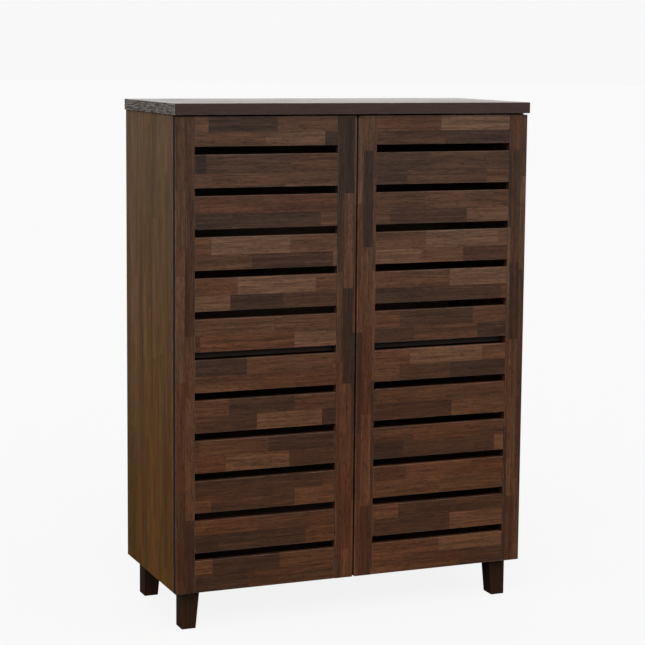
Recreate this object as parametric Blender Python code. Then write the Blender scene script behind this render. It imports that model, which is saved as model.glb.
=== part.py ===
"""Two-door louvred shoe cabinet on four tapered legs.

Metres, +Z up. The origin is on the floor under the middle of the cabinet, +X is to the right seen from the
front and +Y runs from the doors to the back panel. Plan positions are first given from the cabinet's own
edges: an inset from the outer face of a side, and a depth behind the front face of the doors.
"""

import math

import bmesh
import bpy
from mathutils import Vector

# Cabinet
BODY_WIDTH = 0.750
BODY_DEPTH = 0.3235
LEG_HEIGHT = 0.078
SIDE_HEIGHT = 0.9285
SIDE_THICKNESS = 0.015
BOTTOM_THICKNESS = 0.015
BACK_THICKNESS = 0.003
TOP_THICKNESS = 0.022
TOP_OVERHANG_SIDE = 0.003
TOP_OVERHANG_FRONT = 0.005
SEAT_GAP = 0.0003
EASED_EDGE = 0.0007

# Shelves
SHELF_THICKNESS = 0.015
MIDDLE_SHELF_DROP = 0.0022
MIDDLE_SHELF_SETBACK = 0.002
LOOSE_SHELF_SETBACK = 0.030
LOOSE_SHELF_SIDE_GAP = 0.001
PIN_HOLE_PITCH = 0.032
PIN_HOLE_START = 0.060
PIN_HOLE_RADIUS = 0.0026
PIN_HOLE_DEPTH = 0.010
PIN_HOLE_INDICES = (2, 3, 4, 7, 8, 9)
PIN_ROW_INSET = 0.037
LOOSE_SHELF_INDICES = (3, 8)
PIN_RADIUS = 0.0025

# Doors
DOOR_THICKNESS = 0.015
DOOR_BACK_GAP = 0.0023
DOOR_TOP_GAP = 0.003
CENTRE_GAP = 0.004
STILE_WIDTH = 0.039
SLAT_COUNT = 12
SLOT_HEIGHT = 0.0153
LOW_SLAT_TRIM = 0.0005
HIGH_SLAT_TRIM = 0.0065
SLAT_THICKNESS = 0.0125
SLAT_RECESS = 0.0008
SLAT_END_GAP = 0.0006

# Legs
LEG_WIDTH_TOP = 0.037
LEG_WIDTH_FOOT = 0.029
LEG_DEPTH = 0.035
LEG_SIDE_INSET = 0.020
LEG_FRONT_INSET = 0.024
LEG_REAR_INSET = 0.0185

# Concealed hinges, four-bar, in a plan frame: across from the door's outer edge, back from the door's back
HINGE_END_INSET = 0.0965
CUP_CENTRE_INSET = 0.017
CUP_RADIUS = 0.013
CUP_WALL = 0.0011
CUP_DEPTH = 0.0112
CUP_FLOOR = 0.0009
CUP_BORE_CLEARANCE = 0.0003
CUP_FLANGE_THICKNESS = 0.0011
CUP_FLANGE_HALF_WIDTH = 0.0125
CUP_FLANGE_HALF_HEIGHT = 0.0205
CUP_NOTCH_HALF_HEIGHT = 0.0062
CUP_NOTCH_REACH = 0.0085
CUP_NOTCH_DEPTH = 0.0022
CUP_SCREW_SPREAD = 0.017
CUP_SCREW_RADIUS = 0.0018
LONG_LINK_CUP_PIN = Vector((0.0089, -0.0016))
LONG_LINK_ARM_PIN = Vector((0.0420, 0.0435))
SHORT_LINK_CUP_PIN = Vector((0.0101, -0.0056))
SHORT_LINK_ARM_PIN = Vector((0.0235, 0.0045))
LONG_LINK_BENDS = (Vector((0.0125, -0.0031)), Vector((0.0172, -0.0018)), Vector((0.0206, 0.0035)))
SHORT_LINK_BENDS = (
    Vector((0.0132, -0.0083)),
    Vector((0.0177, -0.00905)),
    Vector((0.0222, -0.0086)),
    Vector((0.0251, -0.0062)),
    Vector((0.0254, -0.0015)),
)
LINK_THICKNESS = 0.0014
LINK_GAP = 0.0006
LINK_EDGE = 0.0055
LINK_EYE_RADIUS = 0.0022
LINK_PIN_RADIUS = 0.0010
LINK_PIN_CLEARANCE = 0.00015
OPEN_PIN_CLEARANCE = 0.00042
LINK_PIN_START = 0.0003
ARM_FLANGE_THICKNESS = 0.0016
ARM_HALF_HEIGHT = 0.0090
ARM_BASE_THICKNESS = 0.0018
ARM_BASE_START = 0.010
ARM_NOSE_RADIUS = 0.0025
ARM_TAIL = 0.0150
ARM_EAR_HALF_HEIGHT = 0.0190
ARM_EAR_HALF_WIDTH = 0.0055
ARM_SCREW_DEPTH = 0.037
ARM_SCREW_SPREAD = 0.0145
ARM_SCREW_RADIUS = 0.0021

# Worked out from the sizes above
LEFT, RIGHT = -1, 1
SIDES = {"left": LEFT, "right": RIGHT}
TOP_DEPTH = BODY_DEPTH + TOP_OVERHANG_FRONT
DOOR_FACE_Y = TOP_OVERHANG_FRONT - TOP_DEPTH / 2
DOOR_HEIGHT = SIDE_HEIGHT - DOOR_TOP_GAP
DOOR_WIDTH = (BODY_WIDTH - CENTRE_GAP) / 2
CARCASS_FRONT = DOOR_THICKNESS + DOOR_BACK_GAP
CARCASS_BACK = BODY_DEPTH - BACK_THICKNESS - SEAT_GAP
BOTTOM_Z = LEG_HEIGHT
BOTTOM_TOP_Z = BOTTOM_Z + BOTTOM_THICKNESS
TOP_UNDERSIDE_Z = BOTTOM_Z + SIDE_HEIGHT
INNER_INSET = SIDE_THICKNESS + SEAT_GAP
SLOT_COUNT = SLAT_COUNT - 1
SLAT_HEIGHT = (DOOR_HEIGHT - SLOT_COUNT * SLOT_HEIGHT + LOW_SLAT_TRIM + HIGH_SLAT_TRIM) / SLAT_COUNT
MIDDLE_SHELF_Z = BOTTOM_Z + DOOR_HEIGHT / 2 - MIDDLE_SHELF_DROP
HINGE_HEIGHTS = {
    "lower": BOTTOM_Z + HINGE_END_INSET,
    "upper": BOTTOM_Z + DOOR_HEIGHT - HINGE_END_INSET,
}
ROUND_STEPS = 24
HOLE_STEPS = 10
BEND_STEPS = 4

FINISHES = {
    "walnut": ((0.060, 0.030, 0.020), 0.45, 0.0),
    "dark_leg": ((0.028, 0.016, 0.010), 0.50, 0.0),
    "hardboard": ((0.120, 0.070, 0.045), 0.70, 0.0),
    "plated_steel": ((0.62, 0.62, 0.60), 0.30, 1.0),
}


def clear_scene():
    """Removes the objects that a new file starts with."""
    for item in list(bpy.data.objects):
        bpy.data.objects.remove(item, do_unlink=True)


def finish_material(finish):
    """Returns the material of that name, made once."""
    found = bpy.data.materials.get(finish)
    if found:
        return found
    colour, roughness, metallic = FINISHES[finish]
    material = bpy.data.materials.new(finish)
    material.use_nodes = True
    shader = material.node_tree.nodes["Principled BSDF"]
    shader.inputs["Base Color"].default_value = (*colour, 1.0)
    shader.inputs["Roughness"].default_value = roughness
    shader.inputs["Metallic"].default_value = metallic
    return material


def plan_x(side, inset):
    """World X of a point that lies an inset inward from the outer face of that side."""
    return side * (BODY_WIDTH / 2 - inset)


def plan_y(depth):
    """World Y of a point that lies a depth behind the doors' front face."""
    return DOOR_FACE_Y + depth


def mesh_object(name, shape, finish, parent=None):
    """Makes an object of a bmesh given in world space, keeps its origin on its parent, and frees the bmesh."""
    bmesh.ops.recalc_face_normals(shape, faces=shape.faces)
    origin = Vector(parent.location) if parent else Vector()
    bmesh.ops.translate(shape, verts=shape.verts, vec=-origin)
    mesh = bpy.data.meshes.new(name)
    shape.to_mesh(mesh)
    shape.free()
    mesh.materials.append(finish_material(finish))
    made = bpy.data.objects.new(name, mesh)
    bpy.context.scene.collection.objects.link(made)
    made.parent = parent
    return made


def axis_empty(name, x, y, z):
    """An empty on a joint's axis, which carries the pieces that turn about it."""
    made = bpy.data.objects.new(name, None)
    made.location = (x, y, z)
    made.empty_display_size = 0.02
    bpy.context.scene.collection.objects.link(made)
    return made


def add_box(shape, low, high):
    """Adds a closed box between two corners to a bmesh."""
    low, high = Vector(low), Vector(high)
    made = bmesh.ops.create_cube(shape, size=1.0)["verts"]
    for vert in made:
        for axis in range(3):
            vert.co[axis] = high[axis] if vert.co[axis] > 0 else low[axis]
    return made


def add_prism(shape, outline, low_z, high_z):
    """Adds a closed prism: a plan outline of (x, y) points, raised from low_z to high_z."""
    base = shape.faces.new([shape.verts.new((x, y, low_z)) for x, y in outline])
    raised = bmesh.ops.extrude_face_region(shape, geom=[base])["geom"]
    verts = [item for item in raised if isinstance(item, bmesh.types.BMVert)]
    bmesh.ops.translate(shape, verts=verts, vec=(0, 0, high_z - low_z))


def add_rod(shape, start, end, radius, steps=ROUND_STEPS):
    """Adds a closed round rod between two points."""
    start, end = Vector(start), Vector(end)
    run = end - start
    turn = Vector((0, 0, 1)).rotation_difference(run).to_matrix().to_4x4()
    turn.translation = (start + end) / 2
    bmesh.ops.create_cone(
        shape,
        cap_ends=True,
        cap_tris=False,
        segments=steps,
        radius1=radius,
        radius2=radius,
        depth=run.length,
        matrix=turn,
    )


def loose_object(build):
    """Makes a hidden helper object of the solid that build adds to a bmesh."""
    shape = bmesh.new()
    build(shape)
    return mesh_object("helper", shape, "plated_steel")


def combine(target, operation, build):
    """Joins a solid to an object, or cuts it from it, and applies the Boolean."""
    tool = loose_object(build)
    if target.parent:
        tool.location = (0, 0, 0)
    boolean = target.modifiers.new(operation.lower(), "BOOLEAN")
    boolean.operation = operation
    boolean.solver = "EXACT"
    boolean.object = tool
    bpy.context.view_layer.update()
    evaluated = target.evaluated_get(bpy.context.evaluated_depsgraph_get())
    result = bpy.data.meshes.new_from_object(evaluated)
    spent = target.data
    target.modifiers.clear()
    target.data = result
    bpy.data.meshes.remove(spent)
    bpy.data.objects.remove(tool, do_unlink=True)


def ease_edges(shape):
    """Takes the sharpness off every edge of a wooden piece."""
    bmesh.ops.recalc_face_normals(shape, faces=shape.faces)
    bmesh.ops.bevel(shape, geom=list(shape.edges), offset=EASED_EDGE, segments=1, affect="EDGES")


def board_object(name, low, high, finish, parent=None):
    """A board between two corners, with eased edges."""
    shape = bmesh.new()
    add_box(shape, low, high)
    ease_edges(shape)
    return mesh_object(name, shape, finish, parent)


def half_floor_heights():
    """The height of the floor of each half of the inside: the bottom panel and the middle shelf."""
    return (BOTTOM_TOP_Z, MIDDLE_SHELF_Z + SHELF_THICKNESS)


def pin_row_depths():
    """Depths of the front and rear rows of shelf pin holes behind the doors' front face."""
    front = CARCASS_FRONT + LOOSE_SHELF_SETBACK + PIN_ROW_INSET
    return (front, CARCASS_BACK - PIN_ROW_INSET)


def drill_pin_holes(panel, side):
    """Drills the rows of shelf pin holes into the inner face of a side panel."""

    def holes(shape):
        for floor in half_floor_heights():
            for depth in pin_row_depths():
                for index in PIN_HOLE_INDICES:
                    height = floor + PIN_HOLE_START + PIN_HOLE_PITCH * index - PIN_RADIUS
                    outer = (plan_x(side, SIDE_THICKNESS + PIN_HOLE_DEPTH), plan_y(depth), height)
                    inner = (plan_x(side, SIDE_THICKNESS - PIN_HOLE_DEPTH), plan_y(depth), height)
                    add_rod(shape, outer, inner, PIN_HOLE_RADIUS, HOLE_STEPS)

    combine(panel, "DIFFERENCE", holes)


def build_carcass():
    """The top, the sides, the bottom and the back."""
    half = BODY_WIDTH / 2
    board_object(
        "top_panel",
        (-half - TOP_OVERHANG_SIDE, plan_y(-TOP_OVERHANG_FRONT), TOP_UNDERSIDE_Z),
        (half + TOP_OVERHANG_SIDE, plan_y(BODY_DEPTH), TOP_UNDERSIDE_Z + TOP_THICKNESS),
        "walnut",
    )
    for word, side in SIDES.items():
        faces = sorted((plan_x(side, 0), plan_x(side, SIDE_THICKNESS)))
        panel = board_object(
            f"{word}_side_panel",
            (faces[0], plan_y(CARCASS_FRONT), BOTTOM_Z),
            (faces[1], plan_y(CARCASS_BACK), TOP_UNDERSIDE_Z - SEAT_GAP),
            "walnut",
        )
        drill_pin_holes(panel, side)
    inner = half - INNER_INSET
    board_object(
        "bottom_panel",
        (-inner, plan_y(CARCASS_FRONT), BOTTOM_Z),
        (inner, plan_y(CARCASS_BACK), BOTTOM_TOP_Z),
        "walnut",
    )
    shape = bmesh.new()
    low = (-half, plan_y(BODY_DEPTH - BACK_THICKNESS), BOTTOM_Z)
    add_box(shape, low, (half, plan_y(BODY_DEPTH), TOP_UNDERSIDE_Z - SEAT_GAP))
    mesh_object("back_panel", shape, "hardboard")


def build_shelves():
    """The fixed middle shelf and the shelves that lie on pins."""
    inner = BODY_WIDTH / 2 - INNER_INSET
    board_object(
        "middle_shelf",
        (-inner, plan_y(CARCASS_FRONT + MIDDLE_SHELF_SETBACK), MIDDLE_SHELF_Z),
        (inner, plan_y(CARCASS_BACK), MIDDLE_SHELF_Z + SHELF_THICKNESS),
        "walnut",
    )
    reach = BODY_WIDTH / 2 - SIDE_THICKNESS - LOOSE_SHELF_SIDE_GAP
    number = 0
    for floor in half_floor_heights():
        for index in LOOSE_SHELF_INDICES:
            number += 1
            underside = floor + PIN_HOLE_START + PIN_HOLE_PITCH * index + SEAT_GAP
            board_object(
                f"adjustable_shelf_{number}",
                (-reach, plan_y(CARCASS_FRONT + LOOSE_SHELF_SETBACK), underside),
                (reach, plan_y(CARCASS_BACK - LOOSE_SHELF_SIDE_GAP), underside + SHELF_THICKNESS),
                "walnut",
            )


def build_legs():
    """Four legs under the bottom panel, straight outside and tapering on the inner side."""
    rear_face = BODY_DEPTH - LEG_REAR_INSET
    rows = {
        "front": (LEG_FRONT_INSET, LEG_FRONT_INSET + LEG_DEPTH),
        "rear": (rear_face - LEG_DEPTH, rear_face),
    }
    for row, (near, far) in rows.items():
        for word, side in SIDES.items():
            shape = bmesh.new()
            rings = []
            for width, height in ((LEG_WIDTH_FOOT, 0.0), (LEG_WIDTH_TOP, BOTTOM_Z - SEAT_GAP)):
                outer = plan_x(side, LEG_SIDE_INSET)
                inner = plan_x(side, LEG_SIDE_INSET + width)
                corners = ((outer, near), (inner, near), (inner, far), (outer, far))
                rings.append([shape.verts.new((x, plan_y(depth), height)) for x, depth in corners])
            foot, head = rings
            shape.faces.new(foot)
            shape.faces.new(head)
            for corner in range(4):
                following = (corner + 1) % 4
                shape.faces.new((foot[corner], foot[following], head[following], head[corner]))
            ease_edges(shape)
            mesh_object(f"{row}_{word}_leg", shape, "dark_leg")


def slat_heights():
    """The lower and upper edge of each slat, from the bottom of the door up."""
    edges = []
    trims = {0: LOW_SLAT_TRIM, SLAT_COUNT - 1: HIGH_SLAT_TRIM}
    low = BOTTOM_Z
    for number in range(SLAT_COUNT):
        high = low + SLAT_HEIGHT - trims.get(number, 0.0)
        edges.append((low, high))
        low = high + SLOT_HEIGHT
    return edges


def bore_hinge_cups(stile, side):
    """Bores the blind holes for the hinge cups into the back of a stile."""

    def bores(shape):
        for height in HINGE_HEIGHTS.values():
            x = plan_x(side, CUP_CENTRE_INSET)
            floor = plan_y(DOOR_THICKNESS - CUP_DEPTH - CUP_BORE_CLEARANCE)
            radius = CUP_RADIUS + CUP_BORE_CLEARANCE
            add_rod(shape, (x, floor, height), (x, plan_y(2 * DOOR_THICKNESS), height), radius)

    combine(stile, "DIFFERENCE", bores)


def build_door(word, side, axis):
    """One louvred door: two stiles and the slats between them."""
    top = BOTTOM_Z + DOOR_HEIGHT
    stiles = {
        "hinge": (0.0, STILE_WIDTH),
        "meeting": (DOOR_WIDTH - STILE_WIDTH, DOOR_WIDTH),
    }
    for place, insets in stiles.items():
        edges = sorted(plan_x(side, inset) for inset in insets)
        stile = board_object(
            f"{word}_door_{place}_stile",
            (edges[0], plan_y(0), BOTTOM_Z),
            (edges[1], plan_y(DOOR_THICKNESS), top),
            "walnut",
            axis,
        )
        if place == "hinge":
            bore_hinge_cups(stile, side)
    ends = (STILE_WIDTH + SLAT_END_GAP, DOOR_WIDTH - STILE_WIDTH - SLAT_END_GAP)
    edges = sorted(plan_x(side, inset) for inset in ends)
    for number, (low, high) in enumerate(slat_heights(), start=1):
        board_object(
            f"{word}_door_slat_{number:02d}",
            (edges[0], plan_y(SLAT_RECESS), low),
            (edges[1], plan_y(SLAT_RECESS + SLAT_THICKNESS), high),
            "walnut",
            axis,
        )


def hinge_point(side, point):
    """World (x, y) of a point in the hinges' plan frame."""
    return plan_x(side, point.x), plan_y(DOOR_THICKNESS + point.y)


def bent_strip(path):
    """Outline of a strip of even thickness along a smooth curve through the points of a path."""
    middle = []
    for index in range(len(path) - 1):
        before = path[max(index - 1, 0)]
        start, end = path[index], path[index + 1]
        after = path[min(index + 2, len(path) - 1)]
        for step in range(BEND_STEPS):
            t = step / BEND_STEPS
            middle.append(
                0.5
                * (
                    2 * start
                    + (end - before) * t
                    + (2 * before - 5 * start + 4 * end - after) * t * t
                    + (3 * start - before - 3 * end + after) * t * t * t
                )
            )
    middle.append(path[-1])
    left, right = [], []
    for index, point in enumerate(middle):
        run = middle[min(index + 1, len(middle) - 1)] - middle[max(index - 1, 0)]
        across = Vector((-run.y, run.x)).normalized() * (LINK_THICKNESS / 2)
        left.append(point + across)
        right.append(point - across)
    return left + right[::-1]


def build_link(name, side, height, path, levels, clearances, axis):
    """A bent steel link with an eye at each end, on one of the two levels inside the arm."""
    low, high = (height + level for level in levels)
    points = [hinge_point(side, point) for point in bent_strip(path)]
    shape = bmesh.new()
    add_prism(shape, points, low, high)
    link = mesh_object(name, shape, "plated_steel", axis)
    for end in (path[0], path[-1]):
        x, y = hinge_point(side, end)
        combine(link, "UNION", lambda eye: add_rod(eye, (x, y, low), (x, y, high), LINK_EYE_RADIUS))
    for end, clearance in zip((path[0], path[-1]), clearances):
        x, y = hinge_point(side, end)
        start, stop = (x, y, low - LINK_EYE_RADIUS), (x, y, high + LINK_EYE_RADIUS)
        radius = LINK_PIN_RADIUS + clearance
        combine(link, "DIFFERENCE", lambda hole: add_rod(hole, start, stop, radius))


def build_cup(name, side, height, axis):
    """The hinge's cup: a bowl in the stile, a flange with two ears on its back, and the two link pins."""
    x, rim = plan_x(side, CUP_CENTRE_INSET), DOOR_THICKNESS
    floor = plan_y(rim - CUP_DEPTH)
    flange = (plan_y(rim + SEAT_GAP), plan_y(rim + SEAT_GAP + CUP_FLANGE_THICKNESS))
    shape = bmesh.new()
    add_rod(shape, (x, floor, height), (x, flange[1], height), CUP_RADIUS)
    cup = mesh_object(name, shape, "plated_steel", axis)

    def ears(solid):
        low = (x - CUP_FLANGE_HALF_WIDTH, flange[0], height - CUP_FLANGE_HALF_HEIGHT)
        high = (x + CUP_FLANGE_HALF_WIDTH, flange[1], height + CUP_FLANGE_HALF_HEIGHT)
        add_box(solid, low, high)

    def hollow(solid):
        inner = plan_y(rim - CUP_DEPTH + CUP_FLOOR)
        add_rod(solid, (x, inner, height), (x, plan_y(2 * rim), height), CUP_RADIUS - CUP_WALL)

    def notch(solid):
        across = sorted((plan_x(side, -CUP_RADIUS), plan_x(side, CUP_NOTCH_REACH)))
        low = (across[0], plan_y(rim - CUP_NOTCH_DEPTH), height - CUP_NOTCH_HALF_HEIGHT)
        high = (across[1], plan_y(2 * rim), height + CUP_NOTCH_HALF_HEIGHT)
        add_box(solid, low, high)

    def screw_holes(solid):
        for way in (-1, 1):
            z = height + way * CUP_SCREW_SPREAD
            add_rod(solid, (x, plan_y(rim), z), (x, plan_y(2 * rim), z), CUP_SCREW_RADIUS, HOLE_STEPS)

    combine(cup, "UNION", ears)
    combine(cup, "DIFFERENCE", hollow)
    combine(cup, "DIFFERENCE", notch)
    combine(cup, "DIFFERENCE", screw_holes)
    for pin, way in ((LONG_LINK_CUP_PIN, 1), (SHORT_LINK_CUP_PIN, -1)):
        pin_x, pin_y = hinge_point(side, pin)
        offset = abs(pin.x - CUP_CENTRE_INSET)
        wall = math.sqrt((CUP_RADIUS - CUP_WALL / 2) ** 2 - offset**2)
        ends = [(pin_x, pin_y, height + way * reach) for reach in (LINK_PIN_START, wall)]
        combine(cup, "UNION", lambda solid: add_rod(solid, *ends, LINK_PIN_RADIUS))


def arm_outline():
    """Plan outline of an arm's side walls, from the panel round both pins."""
    base = SIDE_THICKNESS + SEAT_GAP
    nose, heel = SHORT_LINK_ARM_PIN, LONG_LINK_ARM_PIN
    reach = ARM_NOSE_RADIUS
    return [
        Vector((base, nose.y - reach / 2)),
        Vector((nose.x - reach / 2, nose.y - reach)),
        Vector((nose.x + reach / 2, nose.y - reach)),
        Vector((nose.x + reach, nose.y - reach / 3)),
        Vector((heel.x + reach, heel.y - reach)),
        Vector((heel.x + reach, heel.y + reach / 2)),
        Vector((heel.x + reach / 3, heel.y + reach)),
        Vector((base + ARM_TAIL, heel.y + ARM_TAIL)),
        Vector((base, heel.y + ARM_TAIL)),
    ]


def build_arm(name, side, height):
    """The hinge's arm: a channel screwed to the side panel, with the two fixed link pins."""
    outline = [hinge_point(side, point) for point in arm_outline()]
    inner = ARM_HALF_HEIGHT - ARM_FLANGE_THICKNESS
    base_faces = sorted((plan_x(side, INNER_INSET), plan_x(side, INNER_INSET + ARM_BASE_THICKNESS)))
    front = plan_y(DOOR_THICKNESS + ARM_BASE_START)
    rear = outline[-1][1]
    shape = bmesh.new()
    add_box(shape, (base_faces[0], front, height - inner), (base_faces[1], rear, height + inner))
    arm = mesh_object(name, shape, "plated_steel")

    def side_wall(way):
        overlap = 0.0001
        levels = sorted((height + way * (inner - overlap), height + way * ARM_HALF_HEIGHT))
        return lambda solid: add_prism(solid, outline, *levels)

    screw_y = plan_y(CARCASS_FRONT + ARM_SCREW_DEPTH)

    def ears(solid):
        low = (base_faces[0], screw_y - ARM_EAR_HALF_WIDTH, height - ARM_EAR_HALF_HEIGHT)
        high = (base_faces[1], screw_y + ARM_EAR_HALF_WIDTH, height + ARM_EAR_HALF_HEIGHT)
        add_box(solid, low, high)

    def screw_holes(solid):
        for way in (-1, 1):
            z = height + way * ARM_SCREW_SPREAD
            start = (plan_x(side, 0), screw_y, z)
            add_rod(solid, start, (plan_x(side, 2 * INNER_INSET), screw_y, z), ARM_SCREW_RADIUS, HOLE_STEPS)

    combine(arm, "UNION", side_wall(1))
    combine(arm, "UNION", side_wall(-1))
    combine(arm, "UNION", ears)
    combine(arm, "DIFFERENCE", screw_holes)
    for pin, way in ((LONG_LINK_ARM_PIN, 1), (SHORT_LINK_ARM_PIN, -1)):
        x, y = hinge_point(side, pin)
        reach = ARM_HALF_HEIGHT - ARM_FLANGE_THICKNESS / 2
        ends = [(x, y, height + way * distance) for distance in (LINK_PIN_START, reach)]
        combine(arm, "UNION", lambda solid: add_rod(solid, *ends, LINK_PIN_RADIUS))


def build_hinges(word, side, axes):
    """The lower and upper hinge of one door."""
    upper_level = (LINK_GAP, LINK_EDGE)
    lower_level = (-LINK_EDGE, -LINK_GAP)
    long_path = (LONG_LINK_CUP_PIN, *LONG_LINK_BENDS, LONG_LINK_ARM_PIN)
    short_path = (SHORT_LINK_CUP_PIN, *SHORT_LINK_BENDS, SHORT_LINK_ARM_PIN)
    closed_fit = (LINK_PIN_CLEARANCE, LINK_PIN_CLEARANCE)
    open_fit = (OPEN_PIN_CLEARANCE, LINK_PIN_CLEARANCE)
    for place, height in HINGE_HEIGHTS.items():
        name = f"{word}_{place}_hinge"
        build_arm(f"{name}_arm", side, height)
        build_cup(f"{name}_cup", side, height, axes["door"])
        build_link(f"{name}_long_link", side, height, long_path, upper_level, closed_fit, axes["long"])
        build_link(f"{name}_short_link", side, height, short_path, lower_level, open_fit, axes["short"])


def build_axes(word, side):
    """Empties on one door's three joint axes: the door on its long links, and each pair of links on the arms."""
    places = {
        "door": LONG_LINK_CUP_PIN,
        "long": LONG_LINK_ARM_PIN,
        "short": SHORT_LINK_ARM_PIN,
    }
    axes = {}
    for use, point in places.items():
        axes[use] = axis_empty(f"{word}_{use}_axis", *hinge_point(side, point), BOTTOM_Z)
    bpy.context.view_layer.update()
    return axes


def main():
    """Builds the whole cabinet."""
    clear_scene()
    build_carcass()
    build_shelves()
    build_legs()
    for word, side in SIDES.items():
        axes = build_axes(word, side)
        build_door(word, side, axes["door"])
        build_hinges(word, side, axes)


main()
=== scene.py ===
"""Looks, fittings, light and camera for a two-door louvred shoe cabinet.

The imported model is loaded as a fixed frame. Its wooden boards and hinges keep their shapes and are
dressed in procedural finishes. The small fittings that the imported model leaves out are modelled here
and ride on it.
"""

from __future__ import annotations

import logging
import math
from collections.abc import Iterable
from dataclasses import dataclass
from enum import Enum
from typing import ClassVar

import bpy
from mathutils import Matrix, Vector

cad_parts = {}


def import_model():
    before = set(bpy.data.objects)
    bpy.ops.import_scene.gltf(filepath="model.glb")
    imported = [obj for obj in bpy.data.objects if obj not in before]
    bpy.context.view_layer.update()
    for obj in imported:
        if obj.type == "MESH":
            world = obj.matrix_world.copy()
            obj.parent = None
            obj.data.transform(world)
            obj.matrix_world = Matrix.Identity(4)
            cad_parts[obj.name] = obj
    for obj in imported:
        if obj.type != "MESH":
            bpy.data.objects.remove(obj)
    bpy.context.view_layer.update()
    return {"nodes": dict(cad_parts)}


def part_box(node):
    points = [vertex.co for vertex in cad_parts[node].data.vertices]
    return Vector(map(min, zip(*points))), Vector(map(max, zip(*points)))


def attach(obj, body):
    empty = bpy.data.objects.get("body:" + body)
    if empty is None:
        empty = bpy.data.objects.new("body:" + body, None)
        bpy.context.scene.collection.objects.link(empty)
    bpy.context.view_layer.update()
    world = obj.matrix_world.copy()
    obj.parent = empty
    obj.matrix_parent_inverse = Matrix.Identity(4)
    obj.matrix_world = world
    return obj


LOG = logging.getLogger("shoe_cabinet")

Colour = tuple[float, float, float]
Span = tuple[float, float]
Plain = tuple[tuple[str, float], ...]
Socket = bpy.types.NodeSocket
Feed = Socket | float | tuple

WHITE = (1.0, 1.0, 1.0)
INWARD = {"left": Vector((1.0, 0.0, 0.0)), "right": Vector((-1.0, 0.0, 0.0))}
BACKWARD = Vector((0.0, 1.0, 0.0))


# ------------------------------------------------------------------------------------------------
# Node trees
# ------------------------------------------------------------------------------------------------


class GrainLay(Enum):
    """How a board's grain lies: the axes along the grain, across the strips, and through the board."""

    ALONG_X_STRIPS_UP = ("X", "Z", "Y")
    ALONG_X_STRIPS_DEEP = ("X", "Y", "Z")
    ALONG_Z_STRIPS_WIDE = ("Z", "X", "Y")
    ALONG_Z_STRIPS_DEEP = ("Z", "Y", "X")


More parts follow.
